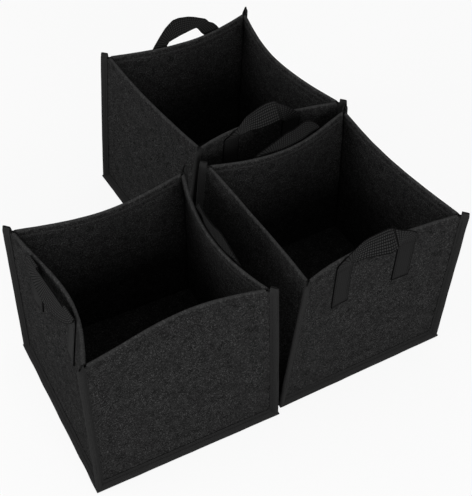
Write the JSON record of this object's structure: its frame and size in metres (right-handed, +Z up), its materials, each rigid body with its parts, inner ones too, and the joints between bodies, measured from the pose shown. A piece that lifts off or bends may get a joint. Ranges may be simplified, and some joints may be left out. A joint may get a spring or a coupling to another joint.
{
  "type": "fabric grow bag set",
  "caption": "Open square grow bags of black felt standing in an L, sewn from wall and floor panels with taped outward seams, folded rims and webbing handles.",
  "frame": {"origin": "on the floor under the middle of the right bag", "axes": "+Z up; +X to the right and -Y to the front, square to the right bag's walls"},
  "size_m": [0.6696, 0.6737, 0.341],
  "materials": {
    "felt": "matt needle-punched felt",
    "tape": "smooth non-woven binding tape",
    "webbing": "coarse woven webbing"
  },
  "bodies": {
    "right_bag": {"right_bag_front_wall": "felt", "right_bag_right_wall": "felt", "right_bag_back_wall": "felt", "right_bag_left_wall": "felt", "right_bag_base": "felt", "right_bag_base_binding": "tape", "right_bag_front_left_binding": "tape", "right_bag_front_right_binding": "tape", "right_bag_back_right_binding": "tape", "right_bag_back_left_binding": "tape", "right_bag_front_handle_left_tail": "webbing", "right_bag_front_handle_right_tail": "webbing", "right_bag_back_handle_left_tail": "webbing", "right_bag_back_handle_right_tail": "webbing"},
    "right_bag_front_handle": {"right_bag_front_handle_loop": "webbing"},
    "right_bag_back_handle": {"right_bag_back_handle_loop": "webbing"},
    "back_bag": {"back_bag_front_wall": "felt", "back_bag_right_wall": "felt", "back_bag_back_wall": "felt", "back_bag_left_wall": "felt", "back_bag_base": "felt", "back_bag_base_binding": "tape", "back_bag_front_left_binding": "tape", "back_bag_front_right_binding": "tape", "back_bag_back_right_binding": "tape", "back_bag_back_left_binding": "tape", "back_bag_front_handle_left_tail": "webbing", "back_bag_front_handle_right_tail": "webbing", "back_bag_back_handle_left_tail": "webbing", "back_bag_back_handle_right_tail": "webbing"},
    "back_bag_front_handle": {"back_bag_front_handle_loop": "webbing"},
    "back_bag_back_handle": {"back_bag_back_handle_loop": "webbing"},
    "front_bag": {"front_bag_front_wall": "felt", "front_bag_right_wall": "felt", "front_bag_back_wall": "felt", "front_bag_left_wall": "felt", "front_bag_base": "felt", "front_bag_base_binding": "tape", "front_bag_front_left_binding": "tape", "front_bag_front_right_binding": "tape", "front_bag_back_right_binding": "tape", "front_bag_back_left_binding": "tape", "front_bag_right_handle_left_tail": "webbing", "front_bag_right_handle_right_tail": "webbing", "front_bag_left_handle_left_tail": "webbing", "front_bag_left_handle_right_tail": "webbing"},
    "front_bag_right_handle": {"front_bag_right_handle_loop": "webbing"},
    "front_bag_left_handle": {"front_bag_left_handle_loop": "webbing"}
  },
  "joints": [
    {"name": "back_bag_lift", "type": "slide", "parent": "right_bag", "child": "back_bag", "axis": [0, 0, 1], "range_m": [0, 0.45]},
    {"name": "front_bag_lift", "type": "slide", "parent": "right_bag", "child": "front_bag", "axis": [0, 0, 1], "range_m": [0, 0.45]},
    {"name": "right_bag_front_handle_swing", "type": "hinge", "parent": "right_bag", "child": "right_bag_front_handle", "pos_m": [0.00102, -0.14723, 0.3007], "axis": [0.9998, 0.018, 0], "range_deg": [-90, 90]},
    {"name": "right_bag_back_handle_swing", "type": "hinge", "parent": "right_bag", "child": "right_bag_back_handle", "pos_m": [0.00462, 0.12769, 0.3007], "axis": [-0.9929, -0.1191, 0], "range_deg": [-69, 55]},
    {"name": "back_bag_front_handle_swing", "type": "hinge", "parent": "back_bag", "child": "back_bag_front_handle", "pos_m": [-0.00905, 0.18432, 0.3007], "axis": [0.9999, -0.0122, 0], "range_deg": [-70, 55]},
    {"name": "back_bag_back_handle_swing", "type": "hinge", "parent": "back_bag", "child": "back_bag_back_handle", "pos_m": [-0.00896, 0.46549, 0.3007], "axis": [-0.9993, -0.0379, 0], "range_deg": [-82, 168]},
    {"name": "front_bag_right_handle_swing", "type": "hinge", "parent": "front_bag", "child": "front_bag_right_handle", "pos_m": [-0.20278, -0.01129, 0.3007], "axis": [-0.0013, 1, 0], "range_deg": [-68, 160]},
    {"name": "front_bag_left_handle_swing", "type": "hinge", "parent": "front_bag", "child": "front_bag_left_handle", "pos_m": [-0.47112, 0.00864, 0.3007], "axis": [0.0604, -0.9982, 0], "range_deg": [-236, 6]}
  ]
}
